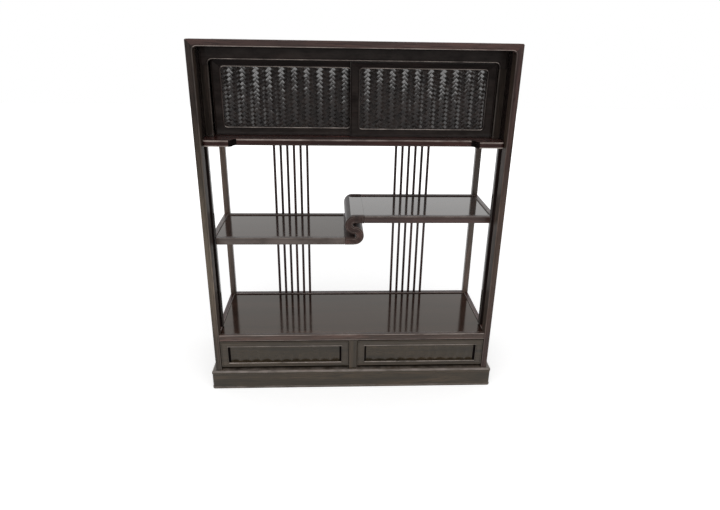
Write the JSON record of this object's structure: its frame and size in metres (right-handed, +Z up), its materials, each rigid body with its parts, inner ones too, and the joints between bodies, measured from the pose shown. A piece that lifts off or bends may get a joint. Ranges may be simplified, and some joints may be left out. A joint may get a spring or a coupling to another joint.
{
  "type": "tea cabinet",
  "caption": "Low dark rosewood tea cabinet with staggered display shelves joined by an S-shaped board, woven sliding doors above and framed drawers in a moulded base.",
  "frame": {"origin": "on the floor, under the middle of the cabinet's box", "axes": "+Z up, the front with doors and drawers faces -Y, +X to the right seen from the front"},
  "size_m": [0.93, 0.338, 1.085],
  "materials": {
    "rosewood": "polished, dark reddish brown",
    "lacquered_panel": "high gloss lacquer",
    "woven_panel": "woven splints, satin lacquer",
    "paulownia": "bare planed wood"
  },
  "bodies": {
    "cabinet": {"plinth_front": "rosewood", "plinth_left": "rosewood", "plinth_right": "rosewood", "plinth_back": "rosewood", "base_board": "rosewood", "portal_left_post": "rosewood", "portal_right_post": "rosewood", "portal_top_rail": "rosewood", "front_left_post": "rosewood", "front_right_post": "rosewood", "rear_left_post": "rosewood", "rear_right_post": "rosewood", "top_board": "rosewood", "case_header": "rosewood", "case_left_stile": "rosewood", "case_right_stile": "rosewood", "case_left_side": "rosewood", "case_right_side": "rosewood", "case_back": "rosewood", "case_floor": "rosewood", "lower_shelf_frame": "rosewood", "lower_shelf_panel": "lacquered_panel", "upper_shelf_frame": "rosewood", "upper_shelf_panel": "lacquered_panel", "s_board": "rosewood", "left_slat_1": "rosewood", "left_slat_2": "rosewood", "left_slat_3": "rosewood", "left_slat_4": "rosewood", "left_slat_5": "rosewood", "left_slat_6": "rosewood", "right_slat_1": "rosewood", "right_slat_2": "rosewood", "right_slat_3": "rosewood", "right_slat_4": "rosewood", "right_slat_5": "rosewood", "right_slat_6": "rosewood", "deck_front_rail": "rosewood", "deck_back_rail": "rosewood", "deck_left_rail": "rosewood", "deck_right_rail": "rosewood", "deck_panel": "lacquered_panel", "drawer_partition": "rosewood", "drawer_bay_left_side": "rosewood", "drawer_bay_right_side": "rosewood", "drawer_bay_back": "rosewood"},
    "left_door": {"left_door_frame": "rosewood", "left_door_panel": "woven_panel"},
    "right_door": {"right_door_frame": "rosewood", "right_door_panel": "woven_panel"},
    "left_drawer": {"left_drawer_front": "rosewood", "left_drawer_left_side": "paulownia", "left_drawer_right_side": "paulownia", "left_drawer_back": "paulownia", "left_drawer_bottom": "paulownia"},
    "right_drawer": {"right_drawer_front": "rosewood", "right_drawer_left_side": "paulownia", "right_drawer_right_side": "paulownia", "right_drawer_back": "paulownia", "right_drawer_bottom": "paulownia"}
  },
  "joints": [
    {"name": "left_door_slide", "type": "slide", "parent": "cabinet", "child": "left_door", "axis": [1, 0, 0], "range_m": [0, 0.395]},
    {"name": "right_door_slide", "type": "slide", "parent": "cabinet", "child": "right_door", "axis": [-1, 0, 0], "range_m": [0, 0.395]},
    {"name": "left_drawer_slide", "type": "slide", "parent": "cabinet", "child": "left_drawer", "axis": [0, -1, 0], "range_m": [0, 0.22]},
    {"name": "right_drawer_slide", "type": "slide", "parent": "cabinet", "child": "right_drawer", "axis": [0, -1, 0], "range_m": [0, 0.22]}
  ]
}
